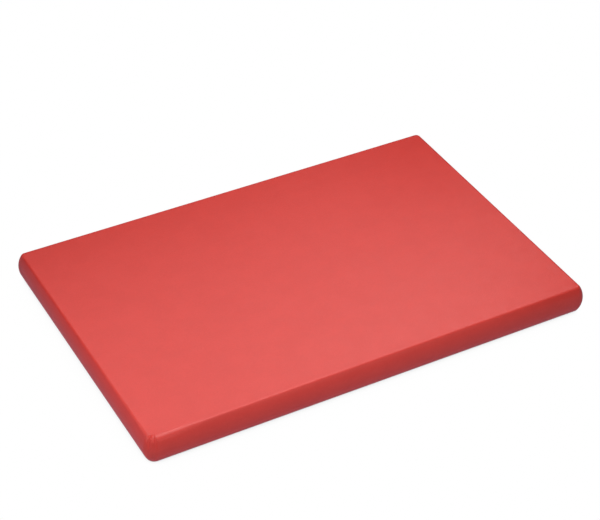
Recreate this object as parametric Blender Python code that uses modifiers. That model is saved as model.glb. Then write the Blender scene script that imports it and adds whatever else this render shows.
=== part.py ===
"""Professional plastic cutting board: one solid slab of red polyethylene with crowned, machined edges.

The slab lies flat with its long side along X. The origin is the middle of the underside, and Z is up.
"""

import math

import bmesh
import bpy

# Driving dimensions, in metres
LENGTH = 0.450
WIDTH = 0.300
THICKNESS = 0.028
EDGE_CROWN = 0.0045  # how far the middle of the edge stands out past the two flat faces
CORNER_RADIUS = 0.0080  # plan radius of the corners at mid-thickness, where the board is widest
CREASE_ROUND = 0.0008  # width of the eased line between a flat face and the crowned edge

# How finely the curves are stepped
CORNER_STEPS = 8
EDGE_LEVELS = 14
CREASE_STEPS = 3
CREASE_ANGLE = math.radians(35)  # turns sharper than this are creases, and softer ones are curves
MERGE_DISTANCE = 0.00001

# Opaque red food-grade polyethylene, satin-matte
RED = (0.70, 0.085, 0.070, 1.0)
ROUGHNESS = 0.45


def clear_scene():
    for old in list(bpy.data.objects):
        bpy.data.objects.remove(old, do_unlink=True)


def make_collection(name):
    collection = bpy.data.collections.new(name)
    bpy.context.scene.collection.children.link(collection)
    return collection


def polyethylene():
    material = bpy.data.materials.new("red_polyethylene")
    material.use_nodes = True
    shader = material.node_tree.nodes["Principled BSDF"]
    shader.inputs["Base Color"].default_value = RED
    shader.inputs["Roughness"].default_value = ROUGHNESS
    shader.inputs["Metallic"].default_value = 0.0
    return material


def edge_inset(height):
    """How far the crowned edge lies in from its widest point: a circular arc over the whole thickness."""
    half = THICKNESS / 2
    arc_radius = (half**2 + EDGE_CROWN**2) / (2 * EDGE_CROWN)
    return arc_radius - math.sqrt(arc_radius**2 - (height - half) ** 2)


def is_upright(edge):
    first, second = edge.verts
    return abs(first.co.z - second.co.z) > THICKNESS / 2


def round_corners(mesh):
    """Rounds the slab's four upright corners in plan."""
    bmesh.ops.bevel(
        mesh,
        geom=[edge for edge in mesh.edges if is_upright(edge)],
        offset=CORNER_RADIUS,
        offset_type="OFFSET",
        segments=CORNER_STEPS,
        profile=0.5,
        affect="EDGES",
    )


def crown_edges(mesh):
    """Cuts the sides into levels and draws each level in to the arc, as a shaped cutter would leave it."""
    for level in range(1, EDGE_LEVELS):
        bmesh.ops.bisect_plane(
            mesh,
            geom=mesh.verts[:] + mesh.edges[:] + mesh.faces[:],
            plane_co=(0, 0, THICKNESS * level / EDGE_LEVELS),
            plane_no=(0, 0, 1),
            dist=MERGE_DISTANCE,
        )
    core_x = LENGTH / 2 - CORNER_RADIUS
    core_y = WIDTH / 2 - CORNER_RADIUS
    for vertex in mesh.verts:
        x, y, z = vertex.co
        nearest_x = min(max(x, -core_x), core_x)
        nearest_y = min(max(y, -core_y), core_y)
        reach = (CORNER_RADIUS - edge_inset(z)) / CORNER_RADIUS
        vertex.co.x = nearest_x + (x - nearest_x) * reach
        vertex.co.y = nearest_y + (y - nearest_y) * reach


def ease_creases(slab):
    """Takes the sharpness off the line where each flat face meets the edge."""
    bevel = slab.modifiers.new("eased_creases", "BEVEL")
    bevel.limit_method = "ANGLE"
    bevel.angle_limit = CREASE_ANGLE
    bevel.width = CREASE_ROUND
    bevel.segments = CREASE_STEPS


def make_slab(collection):
    bpy.ops.mesh.primitive_cube_add(size=1.0, location=(0, 0, 0))
    slab = bpy.context.active_object
    slab.name = "cutting_slab"
    slab.data.name = "cutting_slab"

    mesh = bmesh.new()
    mesh.from_mesh(slab.data)
    bmesh.ops.scale(mesh, vec=(LENGTH, WIDTH, THICKNESS), verts=mesh.verts[:])
    bmesh.ops.translate(mesh, vec=(0, 0, THICKNESS / 2), verts=mesh.verts[:])
    round_corners(mesh)
    crown_edges(mesh)
    mesh.to_mesh(slab.data)
    mesh.free()

    slab.data.shade_smooth()
    slab.data.set_sharp_from_angle(angle=CREASE_ANGLE)
    ease_creases(slab)
    slab.data.materials.append(polyethylene())
    for old in list(slab.users_collection):
        old.objects.unlink(slab)
    collection.objects.link(slab)
    return slab


clear_scene()
make_slab(make_collection("cutting_board"))
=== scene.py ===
"""A solid red polyethylene cutting board, shown on a plain white floor under soft studio light."""

import math

import bmesh
import bpy
from mathutils import Matrix, Vector


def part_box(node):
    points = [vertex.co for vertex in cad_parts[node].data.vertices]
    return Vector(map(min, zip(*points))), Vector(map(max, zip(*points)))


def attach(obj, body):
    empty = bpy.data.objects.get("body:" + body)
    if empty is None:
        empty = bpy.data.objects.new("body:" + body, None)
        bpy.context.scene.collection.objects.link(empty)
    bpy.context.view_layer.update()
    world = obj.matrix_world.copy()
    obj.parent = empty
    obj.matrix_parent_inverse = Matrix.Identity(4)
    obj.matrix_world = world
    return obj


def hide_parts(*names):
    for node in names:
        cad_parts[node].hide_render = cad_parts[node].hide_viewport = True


# The board, in metres. Its length, width and thickness come from the CAD frame.
EDGE_CROWN = 0.0045  # how far the middle of the edge would stand out past the faces' sharp creases
CORNER_RADIUS = 0.0080  # plan radius at mid-thickness
CREASE_RADIUS = 0.0030  # how the line between a face and the edge is eased

# The corner at -X and -Y was scraped rounder by hand, and so was the start of the -Y side beside it.
SCRAPED_RADIUS = 0.0110  # in plan
SCRAPED_CREASE = 0.0078
SCRAPED_SIDE = 0.060  # how far along the side the scraping dies away
GOUGE_DEPTH = 0.0014
FIRST_GOUGE = 0.45  # the scraper's deeper strokes, as shares of the corner's quarter turn
GOUGE_SPACING = 0.42

# How finely the curves are stepped
ARC_STEPS = 10
CREASE_STEPS = 8
CORNER_STEPS = 30
LEVELS = 2 * (ARC_STEPS + CREASE_STEPS)  # from the underside to the top
FACE_CELL = 0.010
MERGE_DISTANCE = 0.00001

# Red polyethylene: linear colours, and grain sizes and relief depths in metres
DEEP_RED = (0.750, 0.0495, 0.0385)
PALE_RED = (0.790, 0.0541, 0.0423)
# A painted highlight: every crease, all round the board, is tinted towards this paler red
CREASE_HIGHLIGHT_RED = (0.800, 0.062, 0.050)
CREASE_HIGHLIGHT_SHARE = 0.35  # how far every crease goes towards the paler red, a painted highlight
PLASTIC_IOR = 1.5
FACE_ROUGHNESS = (0.340, 0.410)
EDGE_ROUGHNESS = (0.37, 0.44)
CREASE_POLISH = 0.02  # how much smoother the scraped creases are
CLOUD = 0.022
CLOUD_DETAIL = 3.0
PIGMENT_GRAIN = 0.0012
SWELL = 0.009
SWELL_DEPTH = 0.00012
PEBBLE = 0.0006
PEBBLE_DEPTH = 0.00016
PLANING_STREAK = (0.150, 0.0012, 0.150)
PLANING_SHARE = 0.12  # of the pebble's depth
CUTTER_STREAK = (0.090, 0.090, 0.0009)
CUTTER_DEPTH = 0.00005

# Noise runs from 0 to 1 about its middle. The ranges are where it mostly lies.
NOISE_MIDDLE = 0.5
NOISE_RANGE = (0.3, 0.7)
SUM_RANGE = (0.7, 1.3)  # of two noises added together
FINE_DETAIL = 1.0
SPECKLE_DETAIL, SPECKLE_ROUGHNESS = 2.0, 0.55
STREAK_DETAIL, STREAK_ROUGHNESS = 3.0, 0.6

# Faces and edges are told apart by how far their normals are from level, as the size of the normal's Z.
FACE_FROM, FACE_TO = 0.93, 0.995
EDGE_FROM, EDGE_TO = 0.80, 0.66

# The camera looks at a point on the top face, measured from that face's middle.
AIM = Vector((0.0090, 0.0128, 0.0))
AIM_DISTANCE = 1.7128
AZIMUTH = math.radians(-28.87)
ELEVATION = math.radians(37.42)
ROLL = math.radians(0.59)
LENS_MM = 108.55

# The floor: the light it throws on the board, what the board mirrors, and the shade round the contact
FLOOR_SIZE = 12.0
FLOOR_GAP = 0.0002  # keeps the floor clear of the board's underside
FLOOR_ALBEDO = 0.62
FLOOR_ROUGHNESS = 0.9
FLOOR_REFLECTED = (0.40, 0.34, 0.46)
CONTACT_REACH = 0.05
CONTACT_FALLOFF = 6.0
CONTACT_SAMPLES = 8
WORLD_LIGHT = 0.002

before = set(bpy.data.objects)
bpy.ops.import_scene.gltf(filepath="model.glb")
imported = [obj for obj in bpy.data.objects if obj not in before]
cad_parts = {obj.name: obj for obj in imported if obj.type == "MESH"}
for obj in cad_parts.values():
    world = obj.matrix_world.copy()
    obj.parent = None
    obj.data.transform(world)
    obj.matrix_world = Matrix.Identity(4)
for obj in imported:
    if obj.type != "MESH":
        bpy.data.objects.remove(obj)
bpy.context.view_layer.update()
low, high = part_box("cutting_slab")
LENGTH, WIDTH, THICKNESS = high - low


# ---- The slab -------------------------------------------------------------------------------

def smooth(share):
    """Goes smoothly from 0 to 1 as share does."""
    share = min(max(share, 0.0), 1.0)
    return share * share * (3 - 2 * share)


def half_profile(ease):
    """The upper half of the edge in section, middle to top, as (inset from the widest point, height).

    It is the circular arc of the crown, which a smaller arc of radius ease joins to the face.
    """
    half = THICKNESS / 2
    crown = (half**2 + EDGE_CROWN**2) / (2 * EDGE_CROWN)
    ease_x = math.sqrt((crown - ease) ** 2 - (half - ease) ** 2)
    joint = math.atan2(half - ease, ease_x)
    points = []
    for i in range(ARC_STEPS):
        turn = joint * i / ARC_STEPS
        points.append((crown * (1 - math.cos(turn)), half + crown * math.sin(turn)))
    for i in range(CREASE_STEPS + 1):
        turn = joint + (math.pi / 2 - joint) * i / CREASE_STEPS
        points.append((crown - ease_x - ease * math.cos(turn), THICKNESS - ease + ease * math.sin(turn)))
    return points


def scraping(point):
    """How a point of the outline was scraped: how far its crease was eased, and how deeply it was gouged.

    The scraping runs round the corner, from none at the -X side, and dies away along the -Y side.
    """
    past_x = -point.x - (LENGTH / 2 - SCRAPED_RADIUS)
    past_y = -point.y - (WIDTH / 2 - SCRAPED_RADIUS)
    if past_y <= 0:
        return 0.0, 0.0
    if past_x <= 0:
        return 1 - smooth(-past_x / SCRAPED_SIDE), 0.0
    turn = math.atan2(past_y, past_x) / (math.pi / 2)
    if turn <= FIRST_GOUGE / 2:
        return smooth(turn / (FIRST_GOUGE / 2)), 0.0
    stroke = math.cos(2 * math.pi * (turn - FIRST_GOUGE) / GOUGE_SPACING)
    return smooth(turn / (FIRST_GOUGE / 2)), max(stroke, 0.0)


def edge_profile(point):
    """The whole edge in section at a point of the outline, bottom to top."""
    easing, gouge = scraping(point)
    half = THICKNESS / 2
    upper = []
    for inset, height in half_profile(CREASE_RADIUS + (SCRAPED_CREASE - CREASE_RADIUS) * easing):
        upper.append((inset + GOUGE_DEPTH * gouge * smooth((height - half) / half), height))
    lower = [(inset, THICKNESS - height) for inset, height in half_profile(CREASE_RADIUS)]
    return lower[:0:-1] + upper


def corner_radius(point):
    """The plan radius of the corner nearest to a point."""
    return SCRAPED_RADIUS if point.x < 0 and point.y < 0 else CORNER_RADIUS


def is_upright(edge):
    return abs(edge.verts[0].co.z - edge.verts[1].co.z) > THICKNESS / 2


def round_corners(mesh):
    for radius in (CORNER_RADIUS, SCRAPED_RADIUS):
        uprights = [edge for edge in mesh.edges if is_upright(edge)]
        bmesh.ops.bevel(
            mesh,
            geom=[edge for edge in uprights if corner_radius(edge.verts[0].co) == radius],
            offset=radius,
            offset_type="OFFSET",
            segments=CORNER_STEPS,
            profile=0.5,
            affect="EDGES",
        )


def cut(mesh, point, normal):
    bmesh.ops.bisect_plane(
        mesh,
        geom=mesh.verts[:] + mesh.edges[:] + mesh.faces[:],
        plane_co=point,
        plane_no=normal,
        dist=MERGE_DISTANCE,
    )


def cut_cells(mesh):
    """Divides the slab into near-square cells along its length and width, and evenly into levels."""
    for axis, size in ((Vector((1, 0, 0)), LENGTH), (Vector((0, 1, 0)), WIDTH)):
        reach = size / 2 - SCRAPED_RADIUS
        cells = round(2 * reach / FACE_CELL)
        for i in range(cells + 1):
            cut(mesh, axis * reach * (2 * i / cells - 1), axis)
    for level in range(1, LEVELS):
        cut(mesh, (0, 0, THICKNESS * level / LEVELS), (0, 0, 1))


def shape_edges(mesh):
    """Moves each level of the upright sides to its place on the edge's section."""
    for vertex in mesh.verts:
        x, y, z = vertex.co
        radius = corner_radius(vertex.co)
        nearest_x = min(max(x, radius - LENGTH / 2), LENGTH / 2 - radius)
        nearest_y = min(max(y, radius - WIDTH / 2), WIDTH / 2 - radius)
        if math.hypot(x - nearest_x, y - nearest_y) < radius - MERGE_DISTANCE:
            continue
        level = round(z / THICKNESS * LEVELS)
        inset, height = edge_profile(vertex.co)[level]
        reach = (radius - inset) / radius
        vertex.co = (nearest_x + (x - nearest_x) * reach, nearest_y + (y - nearest_y) * reach, height)


def make_slab():
    mesh = bmesh.new()
    bmesh.ops.create_cube(mesh, size=1.0)
    bmesh.ops.scale(mesh, vec=(LENGTH, WIDTH, THICKNESS), verts=mesh.verts[:])
    bmesh.ops.translate(mesh, vec=(low + high) / 2, verts=mesh.verts[:])
    round_corners(mesh)
    cut_cells(mesh)
    shape_edges(mesh)
    data = bpy.data.meshes.new("board")
    mesh.to_mesh(data)
    mesh.free()
    data.shade_smooth()
    slab = bpy.data.objects.new("board", data)
    bpy.context.scene.collection.objects.link(slab)
    weighted = slab.modifiers.new("face_weighted_normals", "WEIGHTED_NORMAL")
    weighted.keep_sharp = False
    return slab


# ---- Materials ------------------------------------------------------------------------------

def add(tree, kind, **values):
    """Adds a node. A value's name is its socket's, with _ for a space."""
    made = tree.nodes.new(kind)
    for name, value in values.items():
        made.inputs[name.replace("_", " ")].default_value = value
    return made


def speckle(tree, place, size, detail=SPECKLE_DETAIL):
    """Noise whose blobs are about size metres across."""
    noise = add(tree, "ShaderNodeTexNoise", Scale=1.0 / size, Detail=detail, Roughness=SPECKLE_ROUGHNESS)
    tree.links.new(place, noise.inputs["Vector"])
    return noise.outputs["Fac"]


def streaks(tree, place, sizes):
    """Noise stretched to the given lengths along X, Y and Z, in metres."""
    squeeze = add(tree, "ShaderNodeMapping", Scale=[1.0 / size for size in sizes])
    tree.links.new(place, squeeze.inputs["Vector"])
    noise = add(tree, "ShaderNodeTexNoise", Scale=1.0, Detail=STREAK_DETAIL, Roughness=STREAK_ROUGHNESS)
    tree.links.new(squeeze.outputs["Vector"], noise.inputs["Vector"])
    return noise.outputs["Fac"]


def ramp(tree, signal, start, end, first=0.0, last=1.0):
    """Goes smoothly from first to last as the signal goes from start to end."""
    curve = add(tree, "ShaderNodeMapRange", From_Min=start, From_Max=end, To_Min=first, To_Max=last)
    curve.interpolation_type = "SMOOTHSTEP"
    tree.links.new(signal, curve.inputs["Value"])
    return curve.outputs["Result"]


def combine(tree, operation, first, second):
    """Math on two signals, either of which may be a plain number."""
    math_node = tree.nodes.new("ShaderNodeMath")
    math_node.operation = operation
    for socket, signal in zip(math_node.inputs, (first, second)):
        if isinstance(signal, (int, float)):
            socket.default_value = signal
        else:
            tree.links.new(signal, socket)
    return math_node.outputs["Value"]


def about_zero(tree, noise):
    """Centres noise on zero, so that it leaves no step where it fades out."""
    return combine(tree, "SUBTRACT", noise, NOISE_MIDDLE)


def blend_colours(tree, share, first, second):
    mixed = tree.nodes.new("ShaderNodeMix")
    mixed.data_type = "RGBA"
    tree.links.new(share, mixed.inputs["Factor"])
    for name, colour in (("A", first), ("B", second)):
        socket = next(s for s in mixed.inputs if s.name == name and s.type == "RGBA")
        if isinstance(colour, tuple):
            socket.default_value = (*colour, 1.0)
        else:
            tree.links.new(colour, socket)
    return next(s for s in mixed.outputs if s.type == "RGBA")


def bump(tree, height, depth, under=None):
    """Turns a height signal into a normal. depth is the relief in metres at a signal of 1."""
    relief = add(tree, "ShaderNodeBump", Strength=1.0, Distance=depth)
    tree.links.new(height, relief.inputs["Height"])
    if under:
        tree.links.new(under, relief.inputs["Normal"])
    return relief.outputs["Normal"]


def polyethylene():
    """Solid red polyethylene: finely pebbled, faintly streaked faces, and edges with faint cutter lines."""
    material = bpy.data.materials.new("red_polyethylene")
    material.use_nodes = True
    tree = material.node_tree
    shader = tree.nodes["Principled BSDF"]
    shader.inputs["IOR"].default_value = PLASTIC_IOR

    where = tree.nodes.new("ShaderNodeTexCoord")
    place = where.outputs["Object"]
    facing = tree.nodes.new("ShaderNodeSeparateXYZ")
    tree.links.new(where.outputs["Normal"], facing.inputs["Vector"])
    upright = combine(tree, "ABSOLUTE", facing.outputs["Z"], 0.0)
    on_face = ramp(tree, upright, FACE_FROM, FACE_TO)
    on_edge = ramp(tree, upright, EDGE_FROM, EDGE_TO)
    on_crease = combine(tree, "SUBTRACT", 1.0, combine(tree, "ADD", on_face, on_edge))

    pebble = speckle(tree, place, PEBBLE, FINE_DETAIL)
    swell = speckle(tree, place, SWELL)
    planing = streaks(tree, place, PLANING_STREAK)
    cutter = streaks(tree, place, CUTTER_STREAK)

    # Colour: cloudy pigment, a finer grain of it, and a painted highlight that makes every crease a paler
    # red
    cloud = speckle(tree, place, CLOUD, CLOUD_DETAIL)
    grain = speckle(tree, place, PIGMENT_GRAIN, FINE_DETAIL)
    pale = ramp(tree, combine(tree, "ADD", cloud, grain), *SUM_RANGE)
    tint = blend_colours(tree, pale, DEEP_RED, PALE_RED)
    # Painted highlight along the creases
    painted_highlight_share = combine(tree, "MULTIPLY", on_crease, CREASE_HIGHLIGHT_SHARE)
    tree.links.new(blend_colours(tree, painted_highlight_share, tint, CREASE_HIGHLIGHT_RED), shader.inputs["Base Color"])

    # Roughness: the edges are a little rougher than the faces, both vary, and the creases are smoother
    face_roughness = ramp(tree, combine(tree, "ADD", swell, planing), *SUM_RANGE, *FACE_ROUGHNESS)
    edge_roughness = ramp(tree, cutter, *NOISE_RANGE, *EDGE_ROUGHNESS)
    off_edge = combine(tree, "SUBTRACT", 1.0, on_edge)
    face_part = combine(tree, "MULTIPLY", off_edge, face_roughness)
    edge_part = combine(tree, "MULTIPLY", on_edge, edge_roughness)
    polish = combine(tree, "MULTIPLY", on_crease, CREASE_POLISH)
    roughness = combine(tree, "SUBTRACT", combine(tree, "ADD", face_part, edge_part), polish)
    tree.links.new(roughness, shader.inputs["Roughness"])

    # Relief: a slow swell all over, pebbling and planing on the faces, long cutter lines on the edges
    planed = combine(tree, "MULTIPLY", about_zero(tree, planing), PLANING_SHARE)
    faces = combine(tree, "MULTIPLY", on_face, combine(tree, "ADD", about_zero(tree, pebble), planed))
    edges = combine(tree, "MULTIPLY", on_edge, about_zero(tree, cutter))
    normal = bump(tree, swell, SWELL_DEPTH)
    normal = bump(tree, faces, PEBBLE_DEPTH, normal)
    normal = bump(tree, edges, CUTTER_DEPTH, normal)
    tree.links.new(normal, shader.inputs["Normal"])
    return material


def white_floor():
    """A floor in three parts, told apart by the kind of ray that meets it.

    The camera sees white with a soft shade round the contact, the board's gloss mirrors one even colour,
    and the light thrown back onto the board is that of a grey floor.
    """
    bpy.ops.mesh.primitive_plane_add(size=FLOOR_SIZE, location=(0, 0, low.z - FLOOR_GAP))
    floor = bpy.context.active_object
    floor.name = "floor"
    material = bpy.data.materials.new("white_floor")
    material.use_nodes = True
    tree = material.node_tree
    shader = tree.nodes["Principled BSDF"]
    shader.inputs["Base Color"].default_value = (FLOOR_ALBEDO, FLOOR_ALBEDO, FLOOR_ALBEDO, 1.0)
    shader.inputs["Roughness"].default_value = FLOOR_ROUGHNESS
    openness = add(tree, "ShaderNodeAmbientOcclusion", Distance=CONTACT_REACH)
    openness.samples = CONTACT_SAMPLES
    covered = combine(tree, "SUBTRACT", 1.0, openness.outputs["AO"])
    shade = combine(tree, "SUBTRACT", 1.0, combine(tree, "POWER", covered, CONTACT_FALLOFF))
    glow = tree.nodes.new("ShaderNodeEmission")
    tree.links.new(shade, glow.inputs["Strength"])
    mirrored = tree.nodes.new("ShaderNodeEmission")
    mirrored.inputs["Color"].default_value = (*FLOOR_REFLECTED, 1.0)
    ray = tree.nodes.new("ShaderNodeLightPath")
    for_gloss = tree.nodes.new("ShaderNodeMixShader")
    tree.links.new(ray.outputs["Is Glossy Ray"], for_gloss.inputs["Fac"])
    tree.links.new(shader.outputs["BSDF"], for_gloss.inputs[1])
    tree.links.new(mirrored.outputs["Emission"], for_gloss.inputs[2])
    for_camera = tree.nodes.new("ShaderNodeMixShader")
    tree.links.new(ray.outputs["Is Camera Ray"], for_camera.inputs["Fac"])
    tree.links.new(for_gloss.outputs["Shader"], for_camera.inputs[1])
    tree.links.new(glow.outputs["Emission"], for_camera.inputs[2])
    tree.links.new(for_camera.outputs["Shader"], tree.nodes["Material Output"].inputs["Surface"])
    floor.data.materials.append(material)


# ---- Camera and light -----------------------------------------------------------------------

def make_camera():
    data = bpy.data.cameras.new("camera")
    data.lens = LENS_MM
    camera = bpy.data.objects.new("camera", data)
    bpy.context.scene.collection.objects.link(camera)
    aim = Vector((0, 0, high.z)) + AIM
    turn = Matrix.Rotation(AZIMUTH, 4, "Z") @ Matrix.Rotation(math.pi / 2 - ELEVATION, 4, "X")
    turn = turn @ Matrix.Rotation(ROLL, 4, "Z")
    camera.matrix_world = Matrix.Translation(aim) @ turn @ Matrix.Translation((0, 0, AIM_DISTANCE))
    bpy.context.scene.camera = camera


def area_light(name, place, aim, size, power):
    """A white panel out of the camera's sight. size is its width and height in metres, power is in watts."""
    data = bpy.data.lights.new(name, "AREA")
    data.shape = "RECTANGLE"
    data.size, data.size_y = size
    data.energy = power
    light = bpy.data.objects.new(name, data)
    bpy.context.scene.collection.objects.link(light)
    direction = Vector(aim) - Vector(place)
    light.visible_camera = False
    light.rotation_mode = "QUATERNION"
    light.rotation_quaternion = direction.to_track_quat("-Z", "Y")
    light.location = place


def make_world(strength):
    world = bpy.data.worlds.new("studio")
    world.use_nodes = True
    background = world.node_tree.nodes["Background"]
    background.inputs["Color"].default_value = (1, 1, 1, 1)
    background.inputs["Strength"].default_value = strength
    bpy.context.scene.world = world


slab = make_slab()
slab.data.materials.append(polyethylene())
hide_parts("cutting_slab")
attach(slab, "root")

white_floor()
make_camera()
make_world(WORLD_LIGHT)
area_light("overhead", (-0.15, -0.30, 0.80), (-0.15, -0.30, 0.0), (0.3, 0.3), 2.10)
area_light("overhead_right", (0.15, 0.0, 0.80), (0.15, 0.0, 0.0), (0.3, 0.3), 1.54)
area_light("back", (0.0, 0.35, 0.60), (0.0, 0.0, 0.60), (0.6, 0.4), 1.50)
area_light("back_right", (0.45, 0.35, 0.60), (0.45, 0.0, 0.60), (0.3, 0.4), 1.41)
area_light("back_low", (0.0, 0.35, 0.30), (0.0, 0.0, 0.30), (0.6, 0.2), 0.34)
area_light("right", (0.425, 0.0, 0.60), (0.0, 0.0, 0.60), (0.3, 0.4), 0.75)
area_light("left_low", (-0.425, -0.15, 0.15), (0.0, -0.15, 0.15), (0.6, 0.1), 0.32)
area_light("left", (-0.425, -0.15, 0.30), (0.0, -0.15, 0.30), (0.6, 0.2), 0.32)
area_light("front_low", (0.0, -0.45, 0.15), (0.0, 0.0, 0.15), (0.6, 0.1), 0.22)
area_light("front", (0.0, -0.45, 0.30), (0.0, 0.0, 0.30), (0.6, 0.2), 0.22)
bpy.context.scene.view_settings.view_transform = "Standard"
